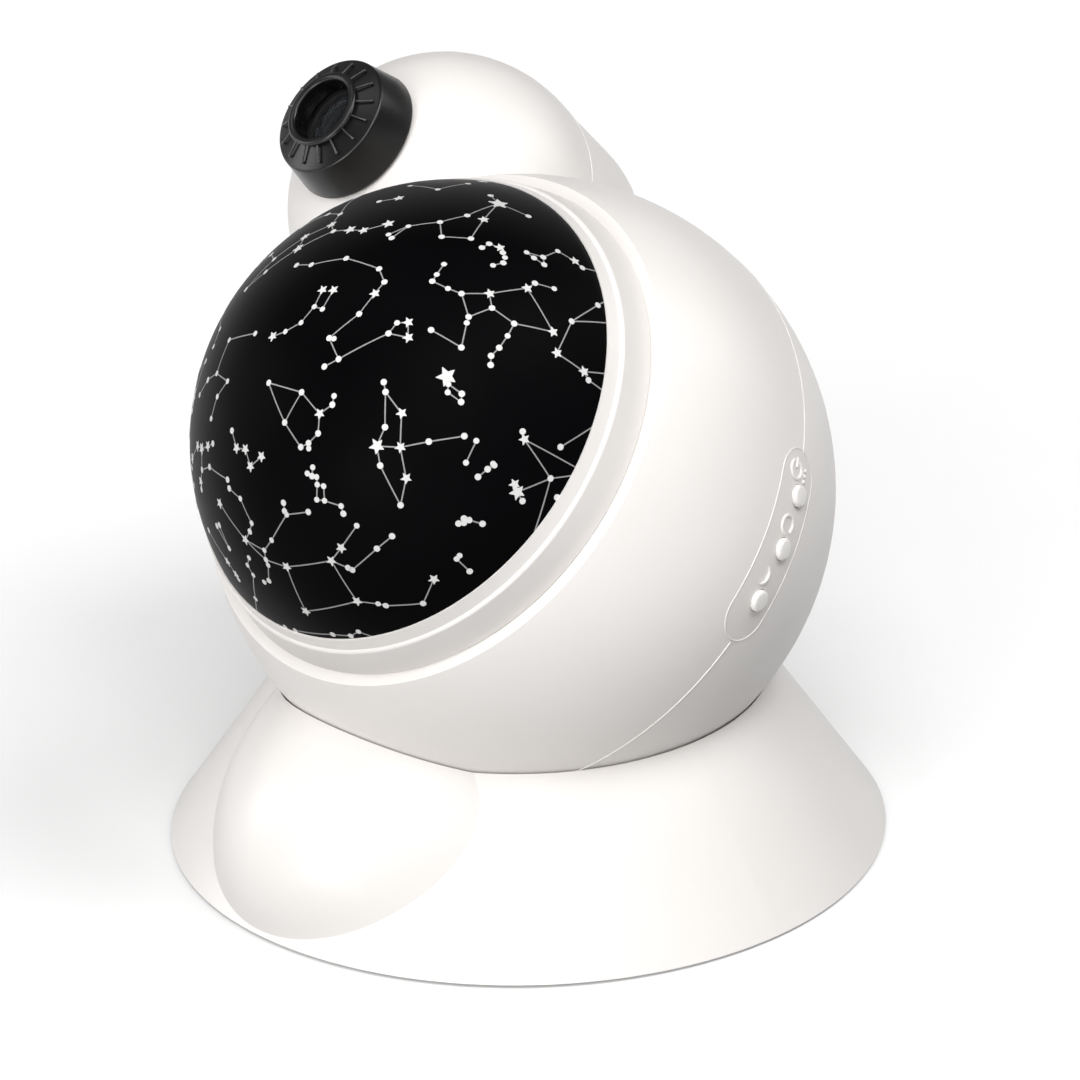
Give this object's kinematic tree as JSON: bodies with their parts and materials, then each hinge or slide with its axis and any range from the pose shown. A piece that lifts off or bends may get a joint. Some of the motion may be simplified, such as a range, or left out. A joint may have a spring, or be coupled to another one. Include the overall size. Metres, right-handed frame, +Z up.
{
  "type": "planetarium projector",
  "caption": "White ball-shaped planetarium projector with a black star-chart dome, a small picture projector head and a flared base it turns and tilts in.",
  "frame": {"origin": "centre of the non-slip pad's lower face, where the base stands", "axes": "+Z up, -Y towards the front that the star dome and the base's lobe face, +X towards the side with the buttons"},
  "size_m": [0.2108, 0.1927, 0.1917],
  "materials": {
    "white_plastic": "satin",
    "panel_plastic": "satin",
    "button_plastic": "satin",
    "dark_plastic": "matte",
    "tray_plastic": "matte",
    "acetal": "satin",
    "dome_black": "gloss",
    "knob_black": "satin",
    "disc_plastic": "satin",
    "picture_film": "gloss",
    "pad_rubber": "matte",
    "steel": "satin",
    "contact_metal": "satin",
    "cell_wrap": "gloss",
    "circuit_board": "satin",
    "switch_plastic": "satin",
    "lens_glass": "polished"
  },
  "bodies": {
    "base": {"base_shell": "white_plastic", "base_plate": "dark_plastic", "base_pad": "pad_rubber", "base_screws": "steel"},
    "seat": {"socket_ring": "acetal"},
    "ball": {"front_housing": "white_plastic", "rear_housing": "white_plastic", "housing_screws": "steel", "chassis": "dark_plastic", "lamp_post": "dark_plastic", "star_lamp": "circuit_board", "drive_motor": "steel", "gear_axle": "steel", "main_board": "circuit_board", "control_panel": "panel_plastic", "switch_board": "circuit_board", "switches": "switch_plastic", "battery_tray": "tray_plastic", "battery_cells": "cell_wrap", "battery_contacts": "contact_metal", "battery_door": "white_plastic", "door_screw": "steel", "optics_frame": "dark_plastic", "optics_screws": "steel", "disc_spindle": "steel", "condenser_lens": "lens_glass", "projector_lamp": "circuit_board"},
    "dome": {"star_dome": "dome_black", "dome_ring": "white_plastic", "drive_ring": "acetal", "dome_screws": "steel"},
    "gear": {"two_step_gear": "acetal"},
    "motor": {"motor_pinion": "acetal", "motor_shaft": "steel"},
    "knob": {"focus_knob": "knob_black"},
    "lens": {"lens_barrel": "dark_plastic", "objective_lens": "lens_glass", "lens_retainer": "dark_plastic"},
    "disc": {"image_disc": "disc_plastic", "picture_films": "picture_film"},
    "light_button": {"light_button": "button_plastic"},
    "rotate_button": {"rotate_button": "button_plastic"},
    "sleep_button": {"sleep_button": "button_plastic"}
  },
  "joints": [
    {"name": "pan_turn", "type": "hinge", "parent": "base", "child": "seat", "pos_m": [0, 0, 0.097], "axis": [0, 0, 1], "continuous": true},
    {"name": "tilt_turn", "type": "hinge", "parent": "seat", "child": "ball", "pos_m": [0, 0, 0.097], "axis": [-1, 0, 0], "range_deg": [-10, 35]},
    {"name": "dome_turn", "type": "hinge", "parent": "ball", "child": "dome", "pos_m": [0, 0, 0.097], "axis": [0, -0.7547, 0.6561], "continuous": true},
    {"name": "gear_turn", "type": "hinge", "parent": "ball", "child": "gear", "pos_m": [0, -0.03444, 0.05738], "axis": [0, -0.7547, 0.6561], "continuous": true},
    {"name": "motor_turn", "type": "hinge", "parent": "ball", "child": "motor", "pos_m": [0, -0.02132, 0.07247], "axis": [0, -0.7547, 0.6561], "continuous": true},
    {"name": "focus_turn", "type": "hinge", "parent": "ball", "child": "knob", "pos_m": [-0.07339, 0.0404, 0.14347], "axis": [-0.0721, -0.7117, 0.6988], "range_deg": [-135, 135]},
    {"name": "lens_slide", "type": "slide", "parent": "ball", "child": "lens", "axis": [-0.0721, -0.7117, 0.6988], "range_m": [-0.002, 0.002]},
    {"name": "disc_turn", "type": "hinge", "parent": "ball", "child": "disc", "pos_m": [-0.08833, 0.05002, 0.15173], "axis": [-0.0721, -0.7117, 0.6988], "continuous": true},
    {"name": "light_press", "type": "slide", "parent": "ball", "child": "light_button", "axis": [-0.9799, -0.1939, -0.0464], "range_m": [0, 0.0006], "stiffness_N_per_m": 250, "springref_m": -0.0006},
    {"name": "rotate_press", "type": "slide", "parent": "ball", "child": "rotate_button", "axis": [-0.9799, -0.1939, -0.0464], "range_m": [0, 0.0006], "stiffness_N_per_m": 250, "springref_m": -0.0006},
    {"name": "sleep_press", "type": "slide", "parent": "ball", "child": "sleep_button", "axis": [-0.9799, -0.1939, -0.0464], "range_m": [0, 0.0006], "stiffness_N_per_m": 250, "springref_m": -0.0006}
  ],
  "couplings": [
    {"joint": "gear_turn", "follows": "dome_turn", "ratio": 8},
    {"joint": "motor_turn", "follows": "dome_turn", "ratio": -32},
    {"joint": "lens_slide", "follows": "focus_turn", "m_per_rad": 0.00084883}
  ]
}
